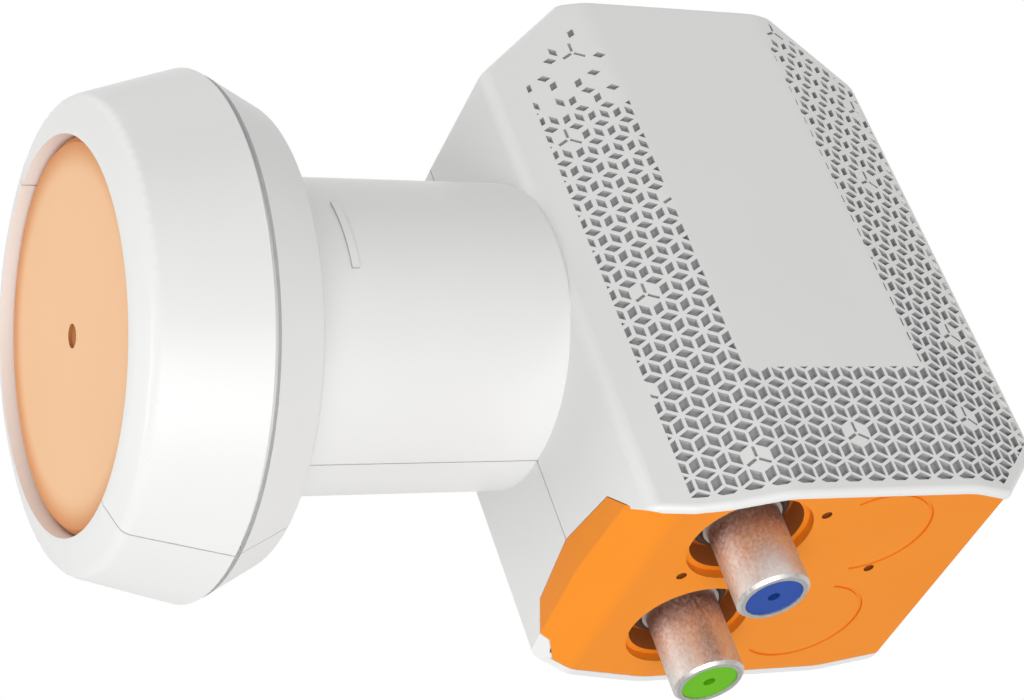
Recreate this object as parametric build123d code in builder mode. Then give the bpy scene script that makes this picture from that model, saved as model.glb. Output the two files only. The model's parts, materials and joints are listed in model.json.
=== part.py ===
from build123d import *
import os
from math import sin, sqrt

os.makedirs("parts", exist_ok=True)

# Satellite LNB with two outlets, in millimetres.
# The horn axis is X with the mouth at -X, the patterned side faces -Y and the outlets point along -Z.
# The origin is on the horn axis, at the middle of the neck that a feed clamp holds.

# Fits
seam_gap = 0.2
slip = 0.1
press = 0.03
seal_sides = 8

# Horn hood and neck
wall = 2.0
neck_radius = 20.0
neck_length = 36.0
neck_overlap = 1.5
front_hole_radius = 16.0
flange_width = 7.0
flange_radius = 32.4
flange_back_radius = 28.8
groove_width = 0.9
groove_depth = 1.0
hood_length = 9.7
hood_radius = 32.8
hood_front_radius = 29.1
bevel_length = 4.6
bevel_round = 3.0
rim_radius = 25.0
mouth_radius = 24.3
mark_offset = 8.4
mark_width = 1.0
mark_height = 0.3
mark_span = 10.4
rib_spacing = 18.0

# Box, lengthwise from its front and upwards from the horn axis
box_length = 61.0
front_rake = 0.8
front_half = 18.3
side_half = 22.6
back_half = 18.4
panel_start = 17.9
panel_end = 45.4
ridge_round = 30.0
panel_round = 12.0
front_round = 2.0
back_round = 3.0
box_top = 40.6
box_bottom = 42.2
top_front_run = 14.4
top_front_drop = 11.2
top_back_run = 13.1
top_back_drop = 10.8
low_back_run = 10.0
low_back_rise = 9.2
base_front = 10.5
chin_run = 4.3
chin_rise = 0.4
low_front_run = 6.2
low_front_rise = 1.5
crease_round = 2.0
edge_round = 0.8
overrun = 1.3
tab_reach = 4.0
tab_width = 7.0
tab_thickness = 1.4
tab_spacing = 20.0

# Cube pattern on the near side, three sunk rhombs to a cube
cube_pitch = 3.4
ridge_low = 0.4
ridge_top = 0.8
pocket_depth = 0.6
band_start = 5.8
band_end = 18.5
pattern_end = 59.3
pattern_margin = 1.5
pattern_base = -40.6
pattern_top = 36.5
thinning_from = 17.0
panel_base = -22.9
raised_every = 23
spoke_length = 1.5
spoke_width = 0.4
spoke_depth = 0.3

# Base cover with its wells
rail_depth = 2.6
rail_width = 1.2
cover_thickness = 2.0
cover_chin_run = 6.0
cover_chin_rise = 3.0
cover_chin_round = 4.0
cover_top = 32.2
cover_ridge_drop = 1.4
cover_brow_half = 10.9
cover_shoulder = 37.6
cover_shoulder_half = 14.4
cover_ledge = 38.3
cover_ledge_half = 17.5
outlet_run = 19.2
outlet_spacing = 19.0
blank_spacing = 17.9
recess_radius = 8.3
recess_depth = 1.2
well_radius = 7.5
well_wall = 1.2
well_depth = 4.4
well_floor = 1.5
outline_radius = 8.0
outline_spacing = 20.0
outline_width = 0.5
outline_depth = 0.3
outline_start = -85.0
outline_sweep = 215.0
dot_radius = 0.7
dot_spots = [(12.9, -2.0), (28.1, -14.1), (41.0, -1.9)]

# Outlet barrels, inserts and contacts
barrel_radius = 4.75
barrel_reach = 8.7
collar_radius = 5.2
collar_length = 3.2
barrel_wall = 1.05
barrel_floor = 2.8
spigot_radius = 4.0
barrel_lip = 0.4
insert_recess = 0.2
insert_neck_radius = 1.55
pin_hole_radius = 0.8
pin_hole_depth = 1.9
clip_radius = 1.2
clip_length = 8.7
clip_bore_radius = 0.6
lead_radius = 0.5
barrel_seal_section = 1.2

# Feed cap, horn and waveguide
cap_recess = 1.5
cap_thickness = 1.6
cap_skirt = 1.6
cap_depth = 8.2
cap_bevel = 0.8
dimple_radius = 1.5
dimple_depth = 0.4
horn_wall = 3.0
horn_depth = 9.6
horn_floor = 2.0
scalar_ring_radius = 16.2
scalar_ring_width = 1.6
ring_step = 1.0
guide_radius = 8.9
guide_wall = 2.3
guide_end = 40.0
guide_end_wall = 2.5
cap_seal_section = 1.6
cap_seal_offset = 4.35

# Board tray, its plate and gasket
tray_start = 12.0
tray_length = 38.0
tray_half = 16.2
tray_top = 9.5
tray_wall = 2.0
tray_ceiling = 2.2
tray_corner = 2.0
ear_radius = 2.8
ear_reach = 3.6
ear_thickness = 4.1
front_ear_spacing = 9.0
back_ear_spacing = 18.0
plate_thickness = 3.0
gasket_thickness = 0.6
gasket_width = 1.1
gasket_inset = 0.4
pad_width = 6.0
pad_height = 16.0

# Main board and what it carries
board_drop = 20.5
board_thickness = 1.0
board_gap = 0.4
post_radius = 2.2
post_inset = 4.4
post_hole_depth = 7.0
board_screw_radius = 0.95
board_head_radius = 1.9
board_head_height = 1.3
plate_screw_radius = 1.2
plate_head_radius = 2.2
plate_head_height = 1.6
plate_screw_length = 6.0
drive_radius = 0.7
drive_depth = 0.6
probe_radius = 0.6
probe_tip = 4.5
probe_tail = 0.5
bush_radius = 1.5
upright_probe_run = 28.0
side_probe_run = 21.0
side_probe_offset = 12.6
isolation_run = 24.5
isolation_radius = 0.9
chip_height = 0.9
converter_size = 5.0
converter_run = 27.0
converter_spacing = 13.0
switch_size = 6.0
switch_run = 36.0
crystal_length = 5.0
crystal_width = 3.2
crystal_height = 1.2
crystal_run = 33.5
crystal_offset = 8.5
regulator_length = 6.5
regulator_width = 6.0
regulator_height = 2.2
regulator_run = 40.5
regulator_offset = 7.5
choke_radius = 1.2
choke_length = 3.0
choke_run = 22.4
choke_spacing = 6.8
absorber_length = 16.0
absorber_width = 12.0
absorber_height = 2.0
absorber_run = 35.0

# Places that follow from the sizes
box_front = neck_length / 2
box_back = box_front + box_length
flange_back = -neck_length / 2
groove_x = flange_back - flange_width
hood_back = groove_x - groove_width
hood_front = hood_back - hood_length
rim_x = hood_front - bevel_length
panel_front_x = box_front + panel_start
panel_back_x = box_front + panel_end
base_back_x = box_back - low_back_run
base_z = rail_depth - box_bottom
cover_back_x = base_back_x + rail_depth * low_back_run / low_back_rise
outlet_x = box_front + outlet_run
blank_x = outlet_x + blank_spacing
outlet_y = outlet_spacing / 2
well_floor_z = base_z + well_depth
plate_base = well_floor_z + well_floor
plate_top = plate_base + plate_thickness
tray_rim = plate_top + gasket_thickness
tray_x = box_front + tray_start
tray_mid = tray_x + tray_length / 2
ceiling_z = -tray_top - tray_ceiling
cap_front = rim_x + cap_recess
cap_back = cap_front + cap_thickness
cap_radius = mouth_radius - 2 * slip
horn_radius = cap_radius - cap_skirt - slip
horn_back = cap_back + horn_depth
guide_outer = guide_radius + guide_wall
guide_stop = box_front + guide_end
cap_seal_x = cap_back + cap_seal_offset
cap_seal_radius = cap_radius - cap_skirt - cap_seal_section / 2
board_top = -board_drop
board_base = board_top - board_thickness
barrel_end = base_z - barrel_reach
bore_radius = barrel_radius - barrel_wall + press
insert_top = plate_base - barrel_floor
contact_base = barrel_end + insert_recess + pin_hole_depth
post_spots = [
    (tray_mid + end * (tray_length / 2 - post_inset), side * (tray_half - post_inset))
    for end in (-1, 1)
    for side in (-1, 1)
]
ear_spots = [
    (tray_x - ear_reach, -front_ear_spacing / 2),
    (tray_x - ear_reach, front_ear_spacing / 2),
    (tray_x + tray_length + ear_radius, -back_ear_spacing / 2),
    (tray_x + tray_length + ear_radius, back_ear_spacing / 2),
]
outlet_sides = {"blue": -outlet_y, "green": outlet_y}
outlet_spots = [(outlet_x, side) for side in outlet_sides.values()]


def save(piece, name):
    """Label a finished piece and write it out."""
    piece.part.label = name
    export_step(piece.part, f"parts/{name}.step")


def plan_face(inset):
    """Plan of the box, drawn in by inset."""
    with BuildSketch() as plan:
        with BuildLine():
            Polyline(
                (box_front, 0),
                (box_front + front_rake, front_half),
                (panel_front_x, side_half),
                (panel_back_x, side_half),
                (box_back, back_half),
            )
            mirror(about=Plane.XZ)
            Line((box_back, back_half), (box_back, -back_half))
        make_face()
        for corner_x, radius in [
            (box_front, ridge_round),
            (box_front + front_rake, front_round),
            (panel_front_x, panel_round),
            (panel_back_x, panel_round),
            (box_back, back_round),
        ]:
            fillet(plan.vertices().filter_by_position(Axis.X, corner_x - slip, corner_x + slip), radius)
        if inset > 0:
            offset(amount=-inset, kind=Kind.INTERSECTION)
    return plan.sketch


def side_face(inset):
    """Side view of the box, drawn in by inset, with its slants run on past both ends."""
    top_front_x = box_front + top_front_run
    top_back_x = box_back - top_back_run
    chin_x = box_front + base_front - chin_run
    chin_z = chin_rise - box_bottom
    with BuildSketch() as view:
        with BuildLine():
            Polyline(
                (top_front_x - overrun * top_front_run, box_top - overrun * top_front_drop),
                (top_front_x, box_top),
                (top_back_x, box_top),
                (top_back_x + overrun * top_back_run, box_top - overrun * top_back_drop),
                (base_back_x + overrun * low_back_run, overrun * low_back_rise - box_bottom),
                (base_back_x, -box_bottom),
                (box_front + base_front, -box_bottom),
                (chin_x, chin_z),
                (chin_x - overrun * low_front_run, chin_z + overrun * low_front_rise),
                close=True,
            )
        make_face()
        fillet(view.vertices().filter_by_position(Axis.X, box_front, box_back), crease_round)
        if inset > 0:
            offset(amount=-inset, kind=Kind.INTERSECTION)
    return view.sketch


def box_form(inset):
    """The box as a solid, drawn in by inset on every side."""
    with BuildPart() as form:
        with BuildSketch(Plane.XY.offset(-2 * box_bottom)):
            add(plan_face(inset))
        extrude(amount=4 * box_bottom)
        with BuildSketch(Plane.XZ):
            add(side_face(inset))
        extrude(amount=2 * side_half, both=True, mode=Mode.INTERSECT)
        if inset == 0:
            upright = form.faces().filter_by(lambda face: abs(face.normal_at().Z) < 0.01)
            fillet(upright.edges().filter_by(Axis.Z, reverse=True), edge_round)
    return form.part


def cover_region(clearance):
    """Space of the base cover in the housing, grown by clearance."""
    brow = clearance - cover_top
    ledge = clearance - cover_ledge
    with BuildPart() as region:
        with BuildSketch(Plane.XY.offset(-2 * box_bottom)):
            add(plan_face(rail_width - clearance))
            with Locations((box_front - wall, 0)):
                Rectangle(
                    3 * wall,
                    2 * (cover_shoulder_half + clearance),
                    align=(Align.MIN, Align.CENTER),
                )
            with Locations((cover_back_x + clearance, 0)):
                Rectangle(
                    2 * box_length,
                    4 * side_half,
                    align=(Align.MAX, Align.CENTER),
                    mode=Mode.INTERSECT,
                )
        extrude(amount=2 * box_bottom)
        with BuildSketch(Plane.YZ):
            with BuildLine():
                Polyline(
                    (0, brow),
                    (cover_brow_half + clearance, brow - cover_ridge_drop),
                    (cover_shoulder_half + clearance, clearance - cover_shoulder),
                    (cover_ledge_half + clearance, ledge),
                    (2 * side_half, ledge),
                    (2 * side_half, -2 * box_bottom),
                    (0, -2 * box_bottom),
                )
                mirror(about=Plane.YZ)
            make_face()
        extrude(amount=2 * box_back, mode=Mode.INTERSECT)
    return region.part


def cover_view(inset):
    """Side view of all that lies above the cover's underside and chin, drawn in by inset."""
    reach = 2 * wall
    slope = cover_chin_rise / cover_chin_run
    with BuildSketch() as view:
        with BuildLine():
            Polyline(
                (box_front - reach, 0),
                (box_front - reach, base_z + cover_chin_rise + reach * slope),
                (box_front + cover_chin_run, base_z),
                (2 * box_back, base_z),
                (2 * box_back, 0),
                close=True,
            )
        make_face()
        chin = view.vertices().sort_by_distance((box_front + cover_chin_run, base_z))[0]
        fillet(chin, cover_chin_round)
        if inset > 0:
            offset(amount=-inset, kind=Kind.INTERSECTION)
    return view.sketch


def cover_form(inset):
    """Box with the cover's raised underside and chin, drawn in by inset on every side."""
    with BuildPart() as form:
        with BuildSketch(Plane.XY.offset(-2 * box_bottom)):
            add(plan_face(inset))
        extrude(amount=4 * box_bottom)
        with BuildSketch(Plane.XZ):
            add(cover_view(inset))
        extrude(amount=2 * side_half, both=True, mode=Mode.INTERSECT)
    return form.part


# White housing before it is parted into two halves
with BuildPart() as housing:
    add(box_form(0))
    with BuildSketch(Plane.XZ) as hood:
        with BuildLine():
            Polyline(
                (rim_x, 0),
                (rim_x, rim_radius),
                (hood_front, hood_front_radius),
                (hood_back, hood_radius),
                (hood_back, flange_radius - groove_depth),
                (groove_x, flange_radius - groove_depth),
                (groove_x, flange_radius),
                (flange_back, flange_back_radius),
                (flange_back, neck_radius),
                (box_front + neck_overlap, neck_radius),
                (box_front + neck_overlap, 0),
                close=True,
            )
        make_face()
        fillet(hood.vertices().sort_by_distance((hood_front, hood_front_radius))[0], bevel_round)
        fillet(hood.vertices().sort_by_distance((flange_back, flange_back_radius))[0], edge_round)
        fillet(hood.vertices().sort_by_distance((box_front + neck_overlap, neck_radius))[0], edge_round)
    revolve(axis=Axis.X)
    add(box_form(wall), mode=Mode.SUBTRACT)
    with BuildSketch(Plane.XZ):
        with BuildLine():
            Polyline(
                (rim_x - wall, 0),
                (rim_x - wall, mouth_radius),
                (hood_front - wall, mouth_radius),
                (hood_front + wall / 2, hood_front_radius - wall),
                (groove_x, flange_radius - groove_depth - wall / 2),
                (flange_back - wall, flange_back_radius - wall / 2),
                (flange_back - wall, neck_radius - wall),
                (box_front - wall, neck_radius - wall),
                (box_front - wall, front_hole_radius),
                (box_front + 2 * wall, front_hole_radius),
                (box_front + 2 * wall, 0),
                close=True,
            )
        make_face()
    revolve(axis=Axis.X, mode=Mode.SUBTRACT)
    # Rings in the neck that grip the waveguide
    for rib_x in (-rib_spacing / 2, rib_spacing / 2):
        with BuildSketch(Plane.YZ.offset(rib_x)):
            Circle(neck_radius - wall / 2)
            Circle(guide_outer + slip, mode=Mode.SUBTRACT)
        extrude(amount=wall / 2, both=True)
    # Pads on the side walls that steady the tray
    pad_reach = side_half - wall / 2 - tray_half - slip
    for side in (-1, 1):
        with Locations((tray_mid, side * (tray_half + slip + pad_reach / 2), (ceiling_z + tray_rim) / 2)):
            Box(pad_width, pad_reach, pad_height)
    add(cover_region(slip), mode=Mode.SUBTRACT)


def seam_tab(plane):
    """Tab of the near half that laps behind the far half, with its foot on the inner wall."""
    with BuildPart() as tab:
        with BuildSketch(plane):
            with BuildLine():
                Polyline(
                    (-tab_reach, wall / 2),
                    (-seam_gap, wall / 2),
                    (-seam_gap, -slip),
                    (tab_reach, -slip),
                    (tab_reach, -slip - tab_thickness),
                    (-tab_reach, -slip - tab_thickness),
                    close=True,
                )
            make_face()
        extrude(amount=tab_width / 2, both=True)
    return tab.part


# Cube pattern: rhombs in three directions round each cube's middle,
# with shallow grooves between any three that are left raised
def scatter(column, row):
    """Fixed value between 0 and 1 for a place in the pattern."""
    return (sin(12.9 * column + 78.2 * row) * 437.5) % 1


def raised(column, row):
    """Whether the three rhombs that meet above a place in the pattern are left raised."""
    return (7 * column + 11 * row) % raised_every == 0


band_x = box_front + band_end
pattern_x = (box_front + band_start, box_front + pattern_end)
cube_side = cube_pitch / sqrt(3)
row_rise = 1.5 * cube_side
rows = range(int(pattern_base / row_rise) - 1, int(pattern_top / row_rise) + 1)
columns = range(int(box_length / cube_pitch) + 2)
rhombs = []
spokes = []
for row in rows:
    cube_z = row * row_rise
    height_share = (cube_z - pattern_base) / (pattern_top - pattern_base)
    share = 1 - 2 * (ridge_low + (ridge_top - ridge_low) * height_share) / cube_pitch
    keep = (pattern_top - cube_z) / (pattern_top - thinning_from)
    for column in columns:
        cube_x = box_front + (column + row % 2 / 2) * cube_pitch
        on_panel = band_x + cube_pitch < cube_x < panel_back_x - cube_pitch
        if on_panel and cube_z > panel_base + cube_pitch:
            continue
        lower_right = column + row % 2
        outer_ends = {90: (column, row), 210: (lower_right - 1, row - 1), 330: (lower_right, row - 1)}
        for turn, outer_end in outer_ends.items():
            if raised(column, row):
                spokes.append(
                    Location((cube_x, cube_z + cube_side), turn)
                    * Location((cube_side / 2, 0))
                    * Rectangle(spoke_length, spoke_width, mode=Mode.PRIVATE)
                )
            thinned = cube_x < panel_back_x and scatter(column + turn, row) > keep
            if thinned or raised(*outer_end):
                continue
            rhombs.append(
                Location((cube_x, cube_z), turn)
                * Location((cube_side / 2, 0))
                * Polygon(
                    (share * cube_side / 2, 0),
                    (0, share * cube_pitch / 2),
                    (-share * cube_side / 2, 0),
                    (0, -share * cube_pitch / 2),
                    mode=Mode.PRIVATE,
                )
            )


def sunk(outlines, depth):
    """Outlines within the pattern's bands as cutters that reach depth into the near side."""
    with BuildPart() as cutters:
        with BuildSketch(Plane.XZ.offset(back_half / 2)):
            add(outlines)
            add(side_face(pattern_margin), mode=Mode.INTERSECT)
            with Locations((sum(pattern_x) / 2, 0)):
                Rectangle(pattern_x[1] - pattern_x[0], -2 * pattern_base, mode=Mode.INTERSECT)
            with Locations((band_x, panel_base)):
                Rectangle(panel_back_x - band_x, 2 * box_top, align=Align.MIN, mode=Mode.SUBTRACT)
        extrude(amount=side_half)
        with BuildSketch(Plane.XY.offset(-2 * box_bottom)):
            add(plan_face(depth))
        extrude(amount=4 * box_bottom, mode=Mode.SUBTRACT)
    return cutters.part


# Near and far halves of the housing
with BuildPart() as near_shell:
    add(housing.part)
    split(bisect_by=Plane.XZ.offset(seam_gap / 2), keep=Keep.TOP)
    for side in (-1, 1):
        top_x = (box_front + top_front_run + box_back - top_back_run) / 2 + side * tab_spacing / 2
        add(seam_tab(Plane(origin=(top_x, 0, box_top - wall), x_dir=(0, 1, 0), z_dir=(1, 0, 0))))
        back_z = side * tab_spacing / 2
        add(seam_tab(Plane(origin=(box_back - wall, 0, back_z), x_dir=(0, 1, 0), z_dir=(0, 0, -1))))
    # Raised line that marks the clamp's place on the neck
    with BuildSketch(Plane.YZ.offset(flange_back + mark_offset)):
        Circle(neck_radius + mark_height)
        Circle(neck_radius - wall / 2, mode=Mode.SUBTRACT)
        with Locations((-neck_radius, 0)):
            Rectangle(neck_radius, mark_span, mode=Mode.INTERSECT)
    extrude(amount=mark_width / 2, both=True)
    add(sunk(rhombs, pocket_depth), mode=Mode.SUBTRACT)
    add(sunk(spokes, spoke_depth), mode=Mode.SUBTRACT)
save(near_shell, "near_shell")

with BuildPart() as far_shell:
    add(housing.part)
    split(bisect_by=Plane.XZ.offset(-seam_gap / 2), keep=Keep.BOTTOM)
    # The far half ends level with the cover, where the near half's lip hangs below it
    with BuildSketch(Plane.XZ):
        with Locations((box_front - 2 * wall, 0)):
            Rectangle(2 * box_length, 2 * box_bottom, align=(Align.MIN, Align.MAX))
        add(cover_view(0), mode=Mode.SUBTRACT)
    extrude(amount=-2 * side_half, mode=Mode.SUBTRACT)
save(far_shell, "far_shell")

# Window in the horn mouth, with a small gate mark in the middle
with BuildPart() as feed_cap:
    with BuildSketch(Plane.XZ) as cap:
        with BuildLine():
            Polyline(
                (cap_front, 0),
                (cap_front, cap_radius),
                (cap_front + cap_depth, cap_radius),
                (cap_front + cap_depth, cap_radius - cap_skirt),
                (cap_back, cap_radius - cap_skirt),
                (cap_back, 0),
                close=True,
            )
        make_face()
        chamfer(cap.vertices().sort_by_distance((cap_front, cap_radius))[0], cap_bevel)
    revolve(axis=Axis.X)
    with BuildSketch(Plane.YZ.offset(cap_front)):
        Circle(dimple_radius)
    extrude(amount=dimple_depth, mode=Mode.SUBTRACT)
save(feed_cap, "feed_cap")

with BuildPart() as feed_cap_seal:
    with BuildSketch(Plane.XZ):
        with Locations((cap_seal_x, cap_seal_radius)):
            seal_half = cap_seal_section / 2 - press
            RegularPolygon(seal_half, seal_sides, major_radius=False, rotation=180 / seal_sides)
    revolve(axis=Axis.X)
save(feed_cap_seal, "feed_cap_seal")


def tray_outline(inset):
    """Rounded rectangle of the tray in plan, drawn in by inset."""
    with BuildSketch() as outline:
        with Locations((tray_mid, 0)):
            RectangleRounded(tray_length - 2 * inset, 2 * (tray_half - inset), tray_corner)
    return outline.sketch


def ear_outline():
    """Screw ears at both ends of the tray in plan, each with a web back to the tray."""
    with BuildSketch() as ears:
        for ear_x, ear_y in ear_spots:
            with Locations((ear_x, ear_y)):
                Circle(ear_radius)
            web_end = tray_mid + (tray_length / 2 - tray_wall) * (1 if ear_x > tray_mid else -1)
            with Locations(((ear_x + web_end) / 2, ear_y)):
                Rectangle(abs(web_end - ear_x), 2 * ear_radius)
    return ears.sketch


# Cast chassis: scalar horn, round waveguide and board tray in one
groove_half = cap_seal_section / 2 + slip / 2
groove_floor = cap_seal_radius - cap_seal_section / 2
horn_base = horn_back - horn_floor
scalar_inner = scalar_ring_radius - scalar_ring_width
with BuildPart() as feed_chassis:
    with BuildSketch(Plane.XZ):
        with BuildLine():
            Polyline(
                (cap_back, horn_radius - horn_wall),
                (cap_back, horn_radius),
                (cap_seal_x - groove_half, horn_radius),
                (cap_seal_x - groove_half, groove_floor),
                (cap_seal_x + groove_half, groove_floor),
                (cap_seal_x + groove_half, horn_radius),
                (horn_back, horn_radius),
                (horn_back, guide_outer),
                (guide_stop + guide_end_wall, guide_outer),
                (guide_stop + guide_end_wall, 0),
                (guide_stop, 0),
                (guide_stop, guide_radius),
                (cap_back + 2 * ring_step, guide_radius),
                (cap_back + 2 * ring_step, guide_outer),
                (horn_base, guide_outer),
                (horn_base, scalar_inner),
                (cap_back + ring_step, scalar_inner),
                (cap_back + ring_step, scalar_ring_radius),
                (horn_base, scalar_ring_radius),
                (horn_base, horn_radius - horn_wall),
                close=True,
            )
        make_face()
    revolve(axis=Axis.X)
    with BuildSketch(Plane.XY.offset(tray_rim)):
        add(tray_outline(0))
    extrude(amount=-tray_top - tray_rim)
    with BuildSketch(Plane.XY.offset(tray_rim)):
        add(ear_outline())
    extrude(amount=ear_thickness)
    with BuildSketch(Plane.XY.offset(tray_rim)):
        add(tray_outline(tray_wall))
    extrude(amount=ceiling_z - tray_rim, mode=Mode.SUBTRACT)
    with BuildSketch(Plane.YZ.offset(horn_base)):
        Circle(guide_radius)
    extrude(amount=guide_stop - horn_base, mode=Mode.SUBTRACT)
    # Feet of the ears that meet the plate beside the gasket
    with BuildSketch(Plane.XY.offset(plate_top)):
        with Locations(*ear_spots):
            Circle(ear_radius)
    extrude(amount=gasket_thickness)
    with BuildSketch(Plane.XY.offset(plate_top)):
        with Locations(*ear_spots):
            Circle(plate_screw_radius + slip / 2)
    extrude(amount=gasket_thickness + ear_thickness, mode=Mode.SUBTRACT)
    # Posts for the board
    with BuildSketch(Plane.XY.offset(board_top)):
        with Locations(*post_spots):
            Circle(post_radius)
    extrude(amount=ceiling_z - board_top)
    with BuildSketch(Plane.XY.offset(board_top)):
        with Locations(*post_spots):
            Circle(board_screw_radius + slip / 2)
    extrude(amount=post_hole_depth, mode=Mode.SUBTRACT)
    # Holes for the probes' bushes and for the isolation pin
    with BuildSketch(Plane.XY.offset(ceiling_z)):
        with Locations((box_front + upright_probe_run, 0)):
            Circle(bush_radius + slip / 2)
    extrude(amount=-ceiling_z, mode=Mode.SUBTRACT)
    with BuildSketch(Plane.XY.offset(ceiling_z)):
        with Locations((box_front + side_probe_run, -side_probe_offset)):
            Circle(bush_radius + slip / 2)
    extrude(amount=tray_ceiling, mode=Mode.SUBTRACT)
    with BuildSketch(Plane.XZ):
        with Locations((box_front + side_probe_run, 0)):
            Circle(bush_radius + slip / 2)
    extrude(amount=guide_outer, mode=Mode.SUBTRACT)
    with BuildSketch(Plane.XZ):
        with Locations((box_front + isolation_run, 0)):
            Circle(isolation_radius + slip / 2)
    extrude(amount=guide_outer, both=True, mode=Mode.SUBTRACT)
save(feed_chassis, "feed_chassis")

# Probes, their insulating bushes and the isolation pin
with BuildPart() as vertical_probe:
    with BuildSketch(Plane.XY.offset(board_base - probe_tail)):
        with Locations((box_front + upright_probe_run, 0)):
            Circle(probe_radius)
    extrude(amount=-probe_tip - board_base + probe_tail)
save(vertical_probe, "vertical_probe")

side_probe_x = box_front + side_probe_run
with BuildPart() as horizontal_probe:
    with BuildLine() as wire:
        FilletPolyline(
            (side_probe_x, -side_probe_offset, board_base - probe_tail),
            (side_probe_x, -side_probe_offset, 0),
            (side_probe_x, -probe_tip, 0),
            radius=probe_radius * 2,
        )
    with BuildSketch(Plane.XY.offset(board_base - probe_tail)):
        with Locations((side_probe_x, -side_probe_offset)):
            Circle(probe_radius)
    sweep(path=wire.line)
save(horizontal_probe, "horizontal_probe")

bush_places = {
    "upright_bush": (Plane((box_front + upright_probe_run, 0, ceiling_z)), -guide_radius - ceiling_z),
    "tray_bush": (Plane((side_probe_x, -side_probe_offset, ceiling_z)), tray_ceiling),
    "side_bush": (Plane((side_probe_x, -guide_outer, 0), x_dir=(1, 0, 0), z_dir=(0, 1, 0)), guide_wall),
}
for name, (plane, length) in bush_places.items():
    with BuildPart() as bush:
        with BuildSketch(plane):
            Circle(bush_radius)
            Circle(probe_radius + press, mode=Mode.SUBTRACT)
        extrude(amount=length)
    save(bush, name)

with BuildPart() as isolation_pin:
    with BuildSketch(Plane.XZ):
        with Locations((box_front + isolation_run, 0)):
            Circle(isolation_radius)
    extrude(amount=guide_outer - slip, both=True)
save(isolation_pin, "isolation_pin")

# Main board with its clearance holes
with BuildPart() as main_board:
    with BuildSketch(Plane.XY.offset(board_base)):
        add(tray_outline(tray_wall + board_gap))
        with Locations(*post_spots):
            Circle(board_screw_radius + slip, mode=Mode.SUBTRACT)
        with Locations((box_front + upright_probe_run, 0), (side_probe_x, -side_probe_offset)):
            Circle(probe_radius + press, mode=Mode.SUBTRACT)
        with Locations(*outlet_spots):
            Circle(lead_radius + press, mode=Mode.SUBTRACT)
    extrude(amount=board_thickness)
save(main_board, "main_board")

# Pieces soldered under the board: place, length, width and height
converter_y = converter_spacing / 2
board_pieces = {
    "near_converter_chip": (converter_run, -converter_y, converter_size, converter_size, chip_height),
    "far_converter_chip": (converter_run, converter_y, converter_size, converter_size, chip_height),
    "switch_chip": (switch_run, 0, switch_size, switch_size, chip_height),
    "crystal": (crystal_run, crystal_offset, crystal_length, crystal_width, crystal_height),
    "regulator": (regulator_run, -regulator_offset, regulator_length, regulator_width, regulator_height),
}
for name, (run, side, length, width, height) in board_pieces.items():
    with BuildPart() as board_piece:
        with BuildSketch(Plane.XY.offset(board_base)):
            with Locations((box_front + run, side)):
                Rectangle(length, width)
        extrude(amount=-height)
        fillet(board_piece.edges().filter_by(Axis.Z), slip)
    save(board_piece, name)

for name, side in (("near_output_choke", -1), ("far_output_choke", 1)):
    with BuildPart() as choke:
        with BuildSketch(Plane.YZ.offset(box_front + choke_run - choke_length / 2)):
            with Locations((side * choke_spacing / 2, board_base - choke_radius)):
                Circle(choke_radius)
        extrude(amount=choke_length)
    save(choke, name)


def screws(spots, seat, head_radius, head_height, shank_radius, length):
    """Screws with their heads hanging below seat, each with a six-sided drive recess."""
    with BuildPart() as bodies:
        with BuildSketch(Plane.XY.offset(seat)):
            with Locations(*spots):
                Circle(head_radius)
        extrude(amount=-head_height)
        with BuildSketch(Plane.XY.offset(seat)):
            with Locations(*spots):
                Circle(shank_radius)
        extrude(amount=length)
        with BuildSketch(Plane.XY.offset(seat - head_height)):
            with Locations(*spots):
                RegularPolygon(drive_radius, 6)
        extrude(amount=drive_depth, mode=Mode.SUBTRACT)
    return bodies


board_screws = screws(
    post_spots, board_base, board_head_radius, board_head_height, board_screw_radius, post_hole_depth
)
save(board_screws, "board_screws")

# Plate that closes the tray and carries the outlets, with its gasket and screws
with BuildPart() as connector_plate:
    with BuildSketch(Plane.XY.offset(plate_base)):
        add(tray_outline(0))
        add(ear_outline())
        with Locations(*ear_spots):
            Circle(plate_screw_radius + slip, mode=Mode.SUBTRACT)
        with Locations(*outlet_spots):
            Circle(spigot_radius + press, mode=Mode.SUBTRACT)
    extrude(amount=plate_thickness)
save(connector_plate, "connector_plate")

with BuildPart() as plate_gasket:
    with BuildSketch(Plane.XY.offset(plate_top)):
        add(tray_outline(gasket_inset))
        add(tray_outline(gasket_inset + gasket_width), mode=Mode.SUBTRACT)
    extrude(amount=gasket_thickness)
save(plate_gasket, "plate_gasket")

plate_screws = screws(
    ear_spots, plate_base, plate_head_radius, plate_head_height, plate_screw_radius, plate_screw_length
)
save(plate_screws, "plate_screws")

with BuildPart() as absorber_pad:
    with BuildSketch(Plane.XY.offset(plate_top)):
        with Locations((box_front + absorber_run, 0)):
            Rectangle(absorber_length, absorber_width)
    extrude(amount=absorber_height)
save(absorber_pad, "absorber_pad")

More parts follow.
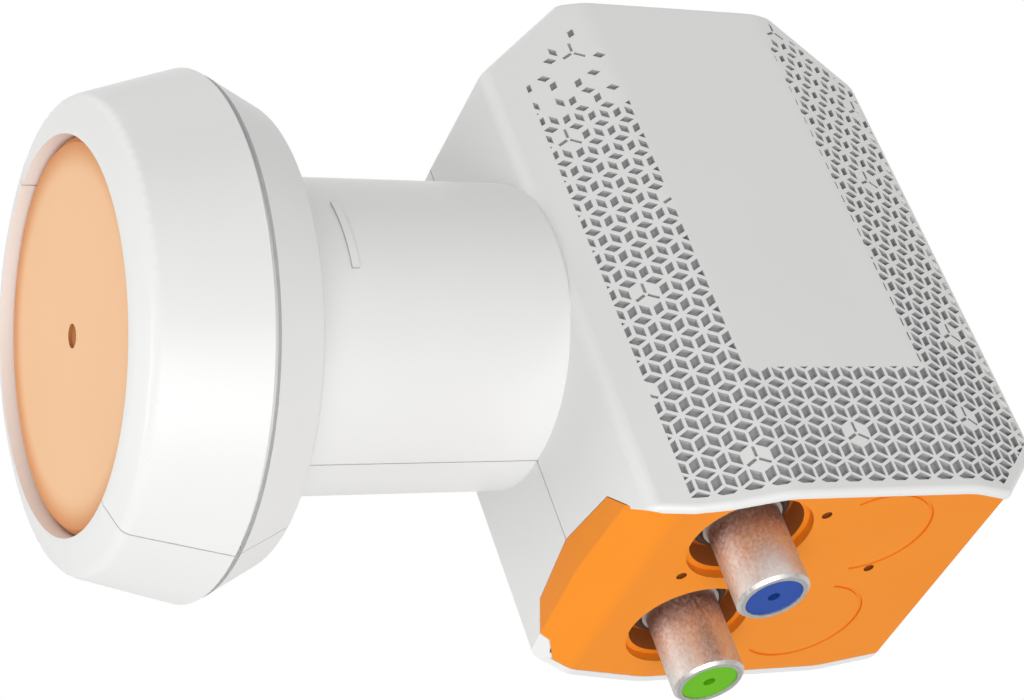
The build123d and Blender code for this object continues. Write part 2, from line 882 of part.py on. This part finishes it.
# Base cover: a skin of the box with two wells, two blanked outlets and index dots
with BuildPart() as base_cover:
    add(cover_form(0))
    add(cover_form(cover_thickness), mode=Mode.SUBTRACT)
    add(cover_region(0), mode=Mode.INTERSECT)
    with BuildSketch(Plane.XY.offset(base_z + cover_thickness / 2)):
        with Locations(*outlet_spots):
            Circle(well_radius + well_wall)
    extrude(amount=plate_base - base_z - cover_thickness / 2)
    for radius, depth in [
        (recess_radius, recess_depth),
        (well_radius, well_depth),
        (collar_radius + 2 * slip, well_depth + well_floor),
    ]:
        with BuildSketch(Plane.XY.offset(base_z)):
            with Locations(*outlet_spots):
                Circle(radius)
        extrude(amount=depth, mode=Mode.SUBTRACT)
    with BuildSketch(Plane.XY.offset(base_z)):
        with BuildLine():
            CenterArc((blank_x, outline_spacing / 2), outline_radius, outline_start, outline_sweep)
            CenterArc((blank_x, -outline_spacing / 2), outline_radius, -outline_start, -outline_sweep)
        trace(line_width=outline_width)
        with Locations(*[(box_front + run, side) for run, side in dot_spots]):
            Circle(dot_radius)
    extrude(amount=outline_depth, mode=Mode.SUBTRACT)
save(base_cover, "base_cover")

# Outlets: nickel barrel, coloured insert, spring contact and ring seal
for colour, side in outlet_sides.items():
    axis = Axis((outlet_x, side, 0), (0, 0, 1))
    section = Plane((outlet_x, side, 0), x_dir=(1, 0, 0), z_dir=(0, -1, 0))
    with BuildPart() as barrel:
        with BuildSketch(section):
            with BuildLine():
                Polyline(
                    (bore_radius, barrel_end),
                    (barrel_radius - barrel_lip, barrel_end),
                    (barrel_radius, barrel_end + barrel_lip),
                    (barrel_radius, plate_base - collar_length),
                    (collar_radius, plate_base - collar_length),
                    (collar_radius, plate_base),
                    (spigot_radius, plate_base),
                    (spigot_radius, plate_top),
                    (insert_neck_radius + press, plate_top),
                    (insert_neck_radius + press, insert_top),
                    (bore_radius, insert_top),
                    close=True,
                )
            make_face()
        revolve(axis=axis)
    save(barrel, f"{colour}_barrel")

    with BuildPart() as insert:
        with BuildSketch(section):
            with BuildLine():
                Polyline(
                    (pin_hole_radius, barrel_end + insert_recess),
                    (bore_radius - press, barrel_end + insert_recess),
                    (bore_radius - press, insert_top),
                    (insert_neck_radius, insert_top),
                    (insert_neck_radius, plate_top),
                    (lead_radius + press, plate_top),
                    (lead_radius + press, contact_base + clip_length),
                    (clip_radius + press, contact_base + clip_length),
                    (clip_radius + press, contact_base),
                    (pin_hole_radius, contact_base),
                    close=True,
                )
            make_face()
        revolve(axis=axis)
    save(insert, f"{colour}_insert")

    with BuildPart() as contact:
        with BuildSketch(section):
            with BuildLine():
                Polyline(
                    (clip_bore_radius, contact_base),
                    (clip_radius, contact_base),
                    (clip_radius, contact_base + clip_length),
                    (lead_radius, contact_base + clip_length),
                    (lead_radius, board_top + 2 * slip),
                    (0, board_top + 2 * slip),
                    (0, contact_base + clip_length - clip_radius),
                    (clip_bore_radius, contact_base + clip_length - clip_radius),
                    close=True,
                )
            make_face()
        revolve(axis=axis)
    save(contact, f"{colour}_contact")

    seal_half = barrel_seal_section / 2
    with BuildPart() as barrel_seal:
        with BuildSketch(section):
            with Locations((collar_radius + press + seal_half, well_floor_z - seal_half)):
                RegularPolygon(seal_half, seal_sides, major_radius=False, rotation=180 / seal_sides)
        revolve(axis=axis)
    save(barrel_seal, f"{colour}_barrel_seal")
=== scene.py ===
import json
from math import hypot, radians

import bmesh
import bpy
from mathutils import Matrix, Vector


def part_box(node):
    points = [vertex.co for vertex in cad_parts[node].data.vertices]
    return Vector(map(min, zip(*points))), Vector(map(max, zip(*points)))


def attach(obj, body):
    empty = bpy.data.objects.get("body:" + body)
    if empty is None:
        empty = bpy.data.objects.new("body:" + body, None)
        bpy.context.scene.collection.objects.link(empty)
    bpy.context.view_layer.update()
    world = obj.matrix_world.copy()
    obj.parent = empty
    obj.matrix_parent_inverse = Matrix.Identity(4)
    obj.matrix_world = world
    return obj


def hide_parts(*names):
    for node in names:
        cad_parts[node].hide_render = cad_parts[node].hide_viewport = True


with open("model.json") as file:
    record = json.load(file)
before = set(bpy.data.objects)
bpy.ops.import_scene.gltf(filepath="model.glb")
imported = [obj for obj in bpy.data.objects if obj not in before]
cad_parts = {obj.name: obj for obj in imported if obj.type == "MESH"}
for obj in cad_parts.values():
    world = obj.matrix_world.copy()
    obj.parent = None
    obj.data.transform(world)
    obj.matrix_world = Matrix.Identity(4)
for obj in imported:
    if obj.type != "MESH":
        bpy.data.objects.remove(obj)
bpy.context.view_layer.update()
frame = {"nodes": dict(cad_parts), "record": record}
nodes = frame["nodes"]

# Camera of the photograph: metres, in the part's frame
LENS = 94.9
CAMERA_PLACE = (-0.1423, -0.2426, -0.1968)
CAMERA_RIGHT = (0.8862, -0.3614, -0.29)
CAMERA_UP = (0.0, -0.6258, 0.78)
CAMERA_BACK = (-0.4633, -0.6912, -0.5546)
CAMERA_NEAREST = 0.01

# Studio
FLOOR_DROP = 1.2
FLOOR_SIZE = 6.0
FLOOR_GREY = 0.9
FLOOR_ROUGHNESS = 0.9
FLOOR_GLOW = 0.55
AMBIENT = 0.48
MIDDLE = Vector((0.02, 0.0, -0.004))
LAMP_DISTANCE = 0.9

# Materials: colour sockets of a Mix node, and what all plastics or all metals share
MIX_A = 6
MIX_B = 7
MIX_RESULT = 2
BUMP_STRENGTH = 0.25
PLASTIC_IOR = 1.48
EDGE_TINT = 0.6
PATCH_RANGE = (0.3, 0.7)
HOUSING = "white housing plastic"
# Painted shade round the rim of the feed cap: the radii where it starts and is full, and its colour
CAP_RIM_SHADE_RADII = (0.0195, 0.024)
CAP_RIM_SHADE_COLOUR = (0.74, 0.28, 0.085)

# Smooth copies: sharp edges, merged corners, and the material slots of their shaded faces
SHARP_ANGLE = radians(28)
MERGE = 2e-6
FIRST_SHADE = 1
SECOND_SHADE = 2

# Sunk details: largest floor areas in square metres, how squarely floors and walls face, and where gaps lie
POCKET_AREA = 6e-6
DIMPLE_AREA = 1e-5
DOT_AREA = 3e-6
FLOOR_FACING = 0.9
WALL_FACING = 0.5
WELL_REACH = 0.0076
SEAM_REACH = 1.2e-4
GROOVE_SPAN = (-0.02595, -0.02495)

# Hood profile, by place along the horn axis and radius: mouth, groove, and the crease of the photograph
# with the reach of its round, then the stretch along the axis of the solid's own crease
HOOD_MOUTH = Vector((-0.0402, 0.025))
HOOD_GROOVE = Vector((-0.02595, 0.0328))
HOOD_CREASE = Vector((-0.03875, 0.02905))
CREASE_ROUND = 0.001
SOLID_CREASE = (-0.03601, -0.03508)

# Ridge that stands on the neck: its stretch along the axis, and the radius of the neck's skin
RIDGE_SPAN = (-0.01015, -0.00905)
NECK_SKIN = 0.0199

# Front end of the near half's lip: its stretch across, how far back it reaches and its upper edge
LIP_END = (0.0145, 0.0176)
LIP_FRONT = 0.0204
LIP_TOP = -0.038


def noise_fields(name, fields):
    """Shader group with a noise field for each label, from its scale and its detail."""
    group = bpy.data.node_groups.new(name, "ShaderNodeTree")
    given = group.nodes.new("NodeGroupInput")
    result = group.nodes.new("NodeGroupOutput")
    place = group.nodes.new("ShaderNodeTexCoord")
    for label, (scale, detail) in fields.items():
        size = group.interface.new_socket(label + " Scale", in_out="INPUT", socket_type="NodeSocketFloat")
        size.default_value = scale
        group.interface.new_socket(label, in_out="OUTPUT", socket_type="NodeSocketFloat")
        noise = group.nodes.new("ShaderNodeTexNoise")
        noise.inputs["Detail"].default_value = detail
        group.links.new(place.outputs["Object"], noise.inputs["Vector"])
        group.links.new(given.outputs[label + " Scale"], noise.inputs["Scale"])
        group.links.new(noise.outputs["Fac"], result.inputs[label])
    return group


# Faint cloudiness and fine spark texture of a moulded face, and dull patches and pits of plating
GRAIN = noise_fields("moulding grain", {"Cloud": (60.0, 2.0), "Spark": (2600.0, 1.0)})
PATCHES = noise_fields("plating patches", {"Patch": (2400.0, 4.0), "Pit": (4200.0, 2.0)})


def blank_material(name):
    """Material with a Principled shader, its tree and the shader."""
    material = bpy.data.materials.new(name)
    material.use_nodes = True
    return material, material.node_tree, material.node_tree.nodes["Principled BSDF"]


def tinted(tree, shader, factor, dark, light):
    """Base colour that runs from dark to light with factor."""
    mix = tree.nodes.new("ShaderNodeMix")
    mix.data_type = "RGBA"
    mix.inputs[MIX_A].default_value = (*dark, 1)
    mix.inputs[MIX_B].default_value = (*light, 1)
    tree.links.new(factor, mix.inputs["Factor"])
    tree.links.new(mix.outputs[MIX_RESULT], shader.inputs["Base Color"])


def bumped(tree, shader, height, distance):
    """Fine relief on the shader's normal."""
    bump = tree.nodes.new("ShaderNodeBump")
    bump.inputs["Strength"].default_value = BUMP_STRENGTH
    bump.inputs["Distance"].default_value = distance
    tree.links.new(height, bump.inputs["Height"])
    tree.links.new(bump.outputs["Normal"], shader.inputs["Normal"])


def moulded(name, light, dark, roughness, gloss=0.5, spark=1e-5):
    """Satin moulded plastic."""
    material, tree, shader = blank_material(name)
    shader.inputs["Roughness"].default_value = roughness
    shader.inputs["IOR"].default_value = PLASTIC_IOR
    shader.inputs["Specular IOR Level"].default_value = gloss
    grain = tree.nodes.new("ShaderNodeGroup")
    grain.node_tree = GRAIN
    tinted(tree, shader, grain.outputs["Cloud"], dark, light)
    bumped(tree, shader, grain.outputs["Spark"], spark)
    return material


def paint_rim_shade(material, colour, radii):
    """Painted shade: deepen a material's colour towards the rim of a disc round the horn axis."""
    tree = material.node_tree
    shader = tree.nodes["Principled BSDF"]
    given = shader.inputs["Base Color"].links[0].from_socket
    place = tree.nodes.new("ShaderNodeTexCoord")
    across = tree.nodes.new("ShaderNodeVectorMath")
    across.operation = "MULTIPLY"
    across.inputs[1].default_value = (0, 1, 1)
    tree.links.new(place.outputs["Object"], across.inputs[0])
    radius = tree.nodes.new("ShaderNodeVectorMath")
    radius.operation = "LENGTH"
    tree.links.new(across.outputs["Vector"], radius.inputs[0])
    share = tree.nodes.new("ShaderNodeMapRange")
    share.interpolation_type = "SMOOTHSTEP"
    share.inputs["From Min"].default_value = radii[0]
    share.inputs["From Max"].default_value = radii[1]
    tree.links.new(radius.outputs["Value"], share.inputs["Value"])
    mix = tree.nodes.new("ShaderNodeMix")
    mix.data_type = "RGBA"
    mix.inputs[MIX_B].default_value = (*colour, 1)
    tree.links.new(share.outputs["Result"], mix.inputs["Factor"])
    tree.links.new(given, mix.inputs[MIX_A])
    tree.links.new(mix.outputs[MIX_RESULT], shader.inputs["Base Color"])


def metal(name, light, dark, smooth, dull, pits=2e-5):
    """Bare or plated metal with duller patches."""
    material, tree, shader = blank_material(name)
    shader.inputs["Metallic"].default_value = 1.0
    shader.inputs["Specular Tint"].default_value = (EDGE_TINT, EDGE_TINT, EDGE_TINT, 1)
    patches = tree.nodes.new("ShaderNodeGroup")
    patches.node_tree = PATCHES
    tinted(tree, shader, patches.outputs["Patch"], dark, light)
    spread = tree.nodes.new("ShaderNodeMapRange")
    spread.inputs["From Min"].default_value = PATCH_RANGE[0]
    spread.inputs["From Max"].default_value = PATCH_RANGE[1]
    spread.inputs["To Min"].default_value = smooth
    spread.inputs["To Max"].default_value = dull
    tree.links.new(patches.outputs["Patch"], spread.inputs["Value"])
    tree.links.new(spread.outputs["Result"], shader.inputs["Roughness"])
    bumped(tree, shader, patches.outputs["Pit"], pits)
    return material


# Finishes by material slot. Plastics: light and dark colour, roughness, gloss.
# Metals: light and dark colour, roughness where smooth and where dull, depth of pits.
FINISHES = {
    "white_plastic": moulded(HOUSING, (0.86, 0.86, 0.85), (0.83, 0.83, 0.82), 0.38),
    "peach_plastic": moulded("peach window plastic with painted rim shade", (0.98, 0.6, 0.34), (0.96, 0.57, 0.31), 0.55, 0.3),
    "orange_plastic": moulded("orange cover plastic", (0.94, 0.295, 0.02), (0.91, 0.275, 0.016), 0.5, 0.2),
    "blue_plastic": moulded("blue insert plastic", (0.022, 0.08, 0.38), (0.018, 0.07, 0.34), 0.5, 0.2),
    "green_plastic": moulded("green insert plastic", (0.15, 0.53, 0.008), (0.135, 0.49, 0.006), 0.5, 0.2),
    "nickel": metal("nickel barrel plating", (0.88, 0.86, 0.84), (0.58, 0.56, 0.54), 0.36, 0.55, 1.2e-5),
    "cast_alloy": metal("cast chassis alloy", (0.62, 0.63, 0.64), (0.5, 0.51, 0.52), 0.45, 0.6),
    "brass": metal("brass wire and contact", (0.78, 0.57, 0.22), (0.68, 0.48, 0.17), 0.2, 0.35),
    "bush_plastic": moulded("waxy bush plastic", (0.85, 0.85, 0.82), (0.8, 0.8, 0.77), 0.45),
    "steel": metal("zinc plated steel", (0.6, 0.6, 0.62), (0.5, 0.5, 0.52), 0.3, 0.45),
    "seal_rubber": moulded("dark seal rubber", (0.075, 0.04, 0.026), (0.06, 0.032, 0.02), 0.7),
    "board_laminate": moulded("green board laminate", (0.02, 0.14, 0.05), (0.015, 0.11, 0.04), 0.35),
    "chip_resin": moulded("black chip resin", (0.025, 0.025, 0.028), (0.02, 0.02, 0.022), 0.5),
    "ferrite": moulded("grey ferrite", (0.06, 0.055, 0.055), (0.045, 0.042, 0.042), 0.6),
    "absorber_foam": moulded("black absorber sheet", (0.03, 0.03, 0.032), (0.02, 0.02, 0.022), 0.8),
}
# Painted shade on the peach cap, deepening its colour towards its rim
paint_rim_shade(FINISHES["peach_plastic"], CAP_RIM_SHADE_COLOUR, CAP_RIM_SHADE_RADII)

# Sunk faces, darker than the faces round them
POCKET_SHADE = moulded("shaded pocket", (0.5, 0.5, 0.5), (0.46, 0.46, 0.46), 0.6, 0.2)
GAP_SHADE = moulded("shaded gap", (0.8, 0.8, 0.8), (0.76, 0.76, 0.76), 0.7, 0.1)
DIMPLE_SHADE = moulded("shaded dimple", (0.5, 0.2, 0.07), (0.46, 0.18, 0.06), 0.6, 0.1)
DOT_SHADE = moulded("shaded cover dot", (0.24, 0.06, 0.008), (0.22, 0.055, 0.007), 0.6, 0.1)
WELL_SHADE = moulded("shaded well", (0.5, 0.15, 0.035), (0.46, 0.135, 0.03), 0.6, 0.1)


def smooth_patches(shape):
    """Groups of faces that meet without a crease."""
    patches = []
    seen = set()
    for start in shape.faces:
        if start in seen:
            continue
        patch = []
        waiting = [start]
        seen.add(start)
        while waiting:
            face = waiting.pop()
            patch.append(face)
            for edge in face.edges:
                if not edge.smooth:
                    continue
                for neighbour in edge.link_faces:
                    if neighbour not in seen:
                        seen.add(neighbour)
                        waiting.append(neighbour)
        patches.append(patch)
    return patches


def hood_spot(place):
    """Place and radius on the narrow-bevelled hood for a place along the solid's outer skin."""
    bevel_end = HOOD_CREASE + (HOOD_MOUTH - HOOD_CREASE).normalized() * CREASE_ROUND
    drum_start = HOOD_CREASE + (HOOD_GROOVE - HOOD_CREASE).normalized() * CREASE_ROUND
    if place < SOLID_CREASE[0]:
        return HOOD_MOUTH.lerp(bevel_end, (place - HOOD_MOUTH.x) / (SOLID_CREASE[0] - HOOD_MOUTH.x))
    if place > SOLID_CREASE[1]:
        return drum_start.lerp(HOOD_GROOVE, (place - SOLID_CREASE[1]) / (HOOD_GROOVE.x - SOLID_CREASE[1]))
    share = (place - SOLID_CREASE[0]) / (SOLID_CREASE[1] - SOLID_CREASE[0])
    return bevel_end.lerp(HOOD_CREASE, share).lerp(HOOD_CREASE.lerp(drum_start, share), share)


def narrow_bevel(shape):
    """Bring the crease of the hood's outer skin forward, so that the bevel round the mouth is narrow."""
    for vert in shape.verts:
        radius = hypot(vert.co.y, vert.co.z)
        share = (vert.co.x - HOOD_MOUTH.x) / (HOOD_GROOVE.x - HOOD_MOUTH.x)
        if 0 < share < 1 and radius > HOOD_MOUTH.lerp(HOOD_GROOVE, share).y:
            spot = hood_spot(vert.co.x)
            swell = spot.y / radius
            vert.co = (spot.x, vert.co.y * swell, vert.co.z * swell)


def slope_lip_end(shape):
    """Slope the front end of the lip up to the cover's brow."""
    for vert in shape.verts:
        share = (LIP_END[1] - abs(vert.co.y)) / (LIP_END[1] - LIP_END[0])
        if vert.co.x < LIP_FRONT and vert.co.z < LIP_TOP and share > 0:
            vert.co.z += min(share, 1) * (LIP_TOP - vert.co.z)


def mark_wells(shape):
    """Give the faces inside the outlet wells the second shade."""
    for barrel in ("blue_barrel", "green_barrel"):
        low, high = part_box(barrel)
        middle = ((low[0] + high[0]) / 2, (low[1] + high[1]) / 2)
        for face in shape.faces:
            if all(hypot(v.co.x - middle[0], v.co.y - middle[1]) < WELL_REACH for v in face.verts):
                face.material_index = SECOND_SHADE


def mark_sunk(shape, facing, largest):
    """Give small sunk floors that face the given way, and the walls round them, the first shade."""
    home = {}
    small = []
    for patch in smooth_patches(shape):
        area = sum(face.calc_area() for face in patch)
        for face in patch:
            home[face] = patch if area < largest else []
        if area < largest and patch[0].normal.dot(facing) > FLOOR_FACING:
            small.extend(patch)
    for face in small:
        for edge in face.edges:
            for neighbour in edge.link_faces:
                for part in home[neighbour]:
                    part.material_index = FIRST_SHADE


def mark_ridge(shape):
    """Give the walls of the ridge on the neck the first shade."""
    for face in shape.faces:
        middle = face.calc_center_median()
        outward = Vector((0, middle.y, middle.z))
        on_ridge = all(RIDGE_SPAN[0] < vert.co.x < RIDGE_SPAN[1] for vert in face.verts)
        is_wall = abs(face.normal.dot(outward.normalized())) < WALL_FACING
        if on_ridge and is_wall and outward.length > NECK_SKIN:
            face.material_index = FIRST_SHADE


def mark_gaps(shape):
    """Give the faces in the parting gap and in the ring groove the second shade."""
    for face in shape.faces:
        in_seam = all(abs(vert.co.y) < SEAM_REACH for vert in face.verts)
        in_groove = all(GROOVE_SPAN[0] < vert.co.x < GROOVE_SPAN[1] for vert in face.verts)
        if in_seam or in_groove:
            face.material_index = SECOND_SHADE


def smooth_copy(node, finish):
    """Smooth-shaded stand-in for a CAD node, creased where its faces meet sharply."""
    mesh = nodes[node].data.copy()
    mesh.materials.clear()
    mesh.materials.append(finish)
    piece = bpy.data.objects.new(node + "_skin", mesh)
    bpy.context.scene.collection.objects.link(piece)
    shape = bmesh.new()
    shape.from_mesh(mesh)
    bmesh.ops.remove_doubles(shape, verts=shape.verts, dist=MERGE)
    is_shell = finish.name == HOUSING
    if is_shell:
        narrow_bevel(shape)
    if node == "near_shell":
        slope_lip_end(shape)
    shape.normal_update()
    for face in shape.faces:
        face.smooth = True
        face.material_index = 0
    for edge in shape.edges:
        edge.smooth = edge.calc_face_angle(0.0) < SHARP_ANGLE
    if is_shell:
        mesh.materials.append(POCKET_SHADE)
        mesh.materials.append(GAP_SHADE)
        mark_gaps(shape)
        mark_sunk(shape, Vector((0, -1, 0)), POCKET_AREA)
        mark_ridge(shape)
    if node == "feed_cap":
        mesh.materials.append(DIMPLE_SHADE)
        mark_sunk(shape, Vector((-1, 0, 0)), DIMPLE_AREA)
    if node == "base_cover":
        mesh.materials.append(DOT_SHADE)
        mesh.materials.append(WELL_SHADE)
        mark_sunk(shape, Vector((0, 0, -1)), DOT_AREA)
        mark_wells(shape)
    shape.to_mesh(mesh)
    shape.free()
    even = piece.modifiers.new("even shading", "WEIGHTED_NORMAL")
    even.keep_sharp = True
    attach(piece, "root")
    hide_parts(node)
    return piece


for subpart in frame["record"]["subparts"]:
    finish = FINISHES[subpart["material_slot"]]
    nodes[subpart["node"]].data.materials.clear()
    nodes[subpart["node"]].data.materials.append(finish)
    skin = smooth_copy(subpart["node"], finish)


def studio_floor():
    """Plain pale floor well below the part, as the camera looks up at it."""
    shape = bmesh.new()
    bmesh.ops.create_grid(shape, x_segments=1, y_segments=1, size=FLOOR_SIZE / 2)
    bmesh.ops.translate(shape, verts=shape.verts, vec=(0, 0, -FLOOR_DROP))
    mesh = bpy.data.meshes.new("floor")
    shape.to_mesh(mesh)
    shape.free()
    material, tree, shader = blank_material("pale floor")
    shader.inputs["Base Color"].default_value = (FLOOR_GREY, FLOOR_GREY, FLOOR_GREY, 1)
    shader.inputs["Roughness"].default_value = FLOOR_ROUGHNESS
    shader.inputs["Emission Color"].default_value = (1, 1, 1, 1)
    path = tree.nodes.new("ShaderNodeLightPath")
    glow = tree.nodes.new("ShaderNodeMath")
    glow.operation = "MULTIPLY"
    glow.inputs[1].default_value = FLOOR_GLOW
    tree.links.new(path.outputs["Is Camera Ray"], glow.inputs[0])
    tree.links.new(glow.outputs[0], shader.inputs["Emission Strength"])
    mesh.materials.append(material)
    floor = bpy.data.objects.new("floor", mesh)
    bpy.context.scene.collection.objects.link(floor)


def studio_world():
    """White surroundings for the camera and for reflections, with a softer fill on the part."""
    world = bpy.data.worlds.new("studio")
    world.use_nodes = True
    bpy.context.scene.world = world
    tree = world.node_tree
    background = tree.nodes["Background"]
    background.inputs["Color"].default_value = (1, 1, 1, 1)
    path = tree.nodes.new("ShaderNodeLightPath")
    seen = tree.nodes.new("ShaderNodeMath")
    seen.operation = "MAXIMUM"
    tree.links.new(path.outputs["Is Camera Ray"], seen.inputs[0])
    clear = tree.nodes.new("ShaderNodeMath")
    clear.operation = "MAXIMUM"
    tree.links.new(path.outputs["Is Glossy Ray"], clear.inputs[0])
    tree.links.new(path.outputs["Is Transmission Ray"], clear.inputs[1])
    tree.links.new(clear.outputs[0], seen.inputs[1])
    level = tree.nodes.new("ShaderNodeMapRange")
    level.inputs["To Min"].default_value = AMBIENT
    level.inputs["To Max"].default_value = 1.0
    tree.links.new(seen.outputs[0], level.inputs["Value"])
    tree.links.new(level.outputs["Result"], background.inputs["Strength"])


def lamp(name, direction, size, watts):
    """Soft square lamp that shines on the part from the given direction."""
    data = bpy.data.lights.new(name, "AREA")
    data.shape = "SQUARE"
    data.size = size
    data.energy = watts
    light = bpy.data.objects.new(name, data)
    away = Vector(direction).normalized()
    light.location = MIDDLE + away * LAMP_DISTANCE
    light.rotation_euler = (-away).to_track_quat("-Z", "Y").to_euler()
    bpy.context.scene.collection.objects.link(light)


def studio_camera():
    """Camera at the photograph's viewing angle."""
    data = bpy.data.cameras.new("camera")
    data.lens = LENS
    data.clip_start = CAMERA_NEAREST
    camera = bpy.data.objects.new("camera", data)
    turn = Matrix((CAMERA_RIGHT, CAMERA_UP, CAMERA_BACK)).transposed()
    camera.matrix_world = Matrix.Translation(CAMERA_PLACE) @ turn.to_4x4()
    bpy.context.scene.collection.objects.link(camera)
    bpy.context.scene.camera = camera


studio_floor()
studio_world()
lamp("key lamp", (-0.28, -0.42, -0.85), size=0.6, watts=4.9)
lamp("front lamp", (-1.0, 0.2, -0.05), size=0.35, watts=1.8)
lamp("top lamp", (-0.35, -0.2, 0.9), size=0.8, watts=2.2)
studio_camera()
bpy.context.scene.view_settings.view_transform = "Standard"
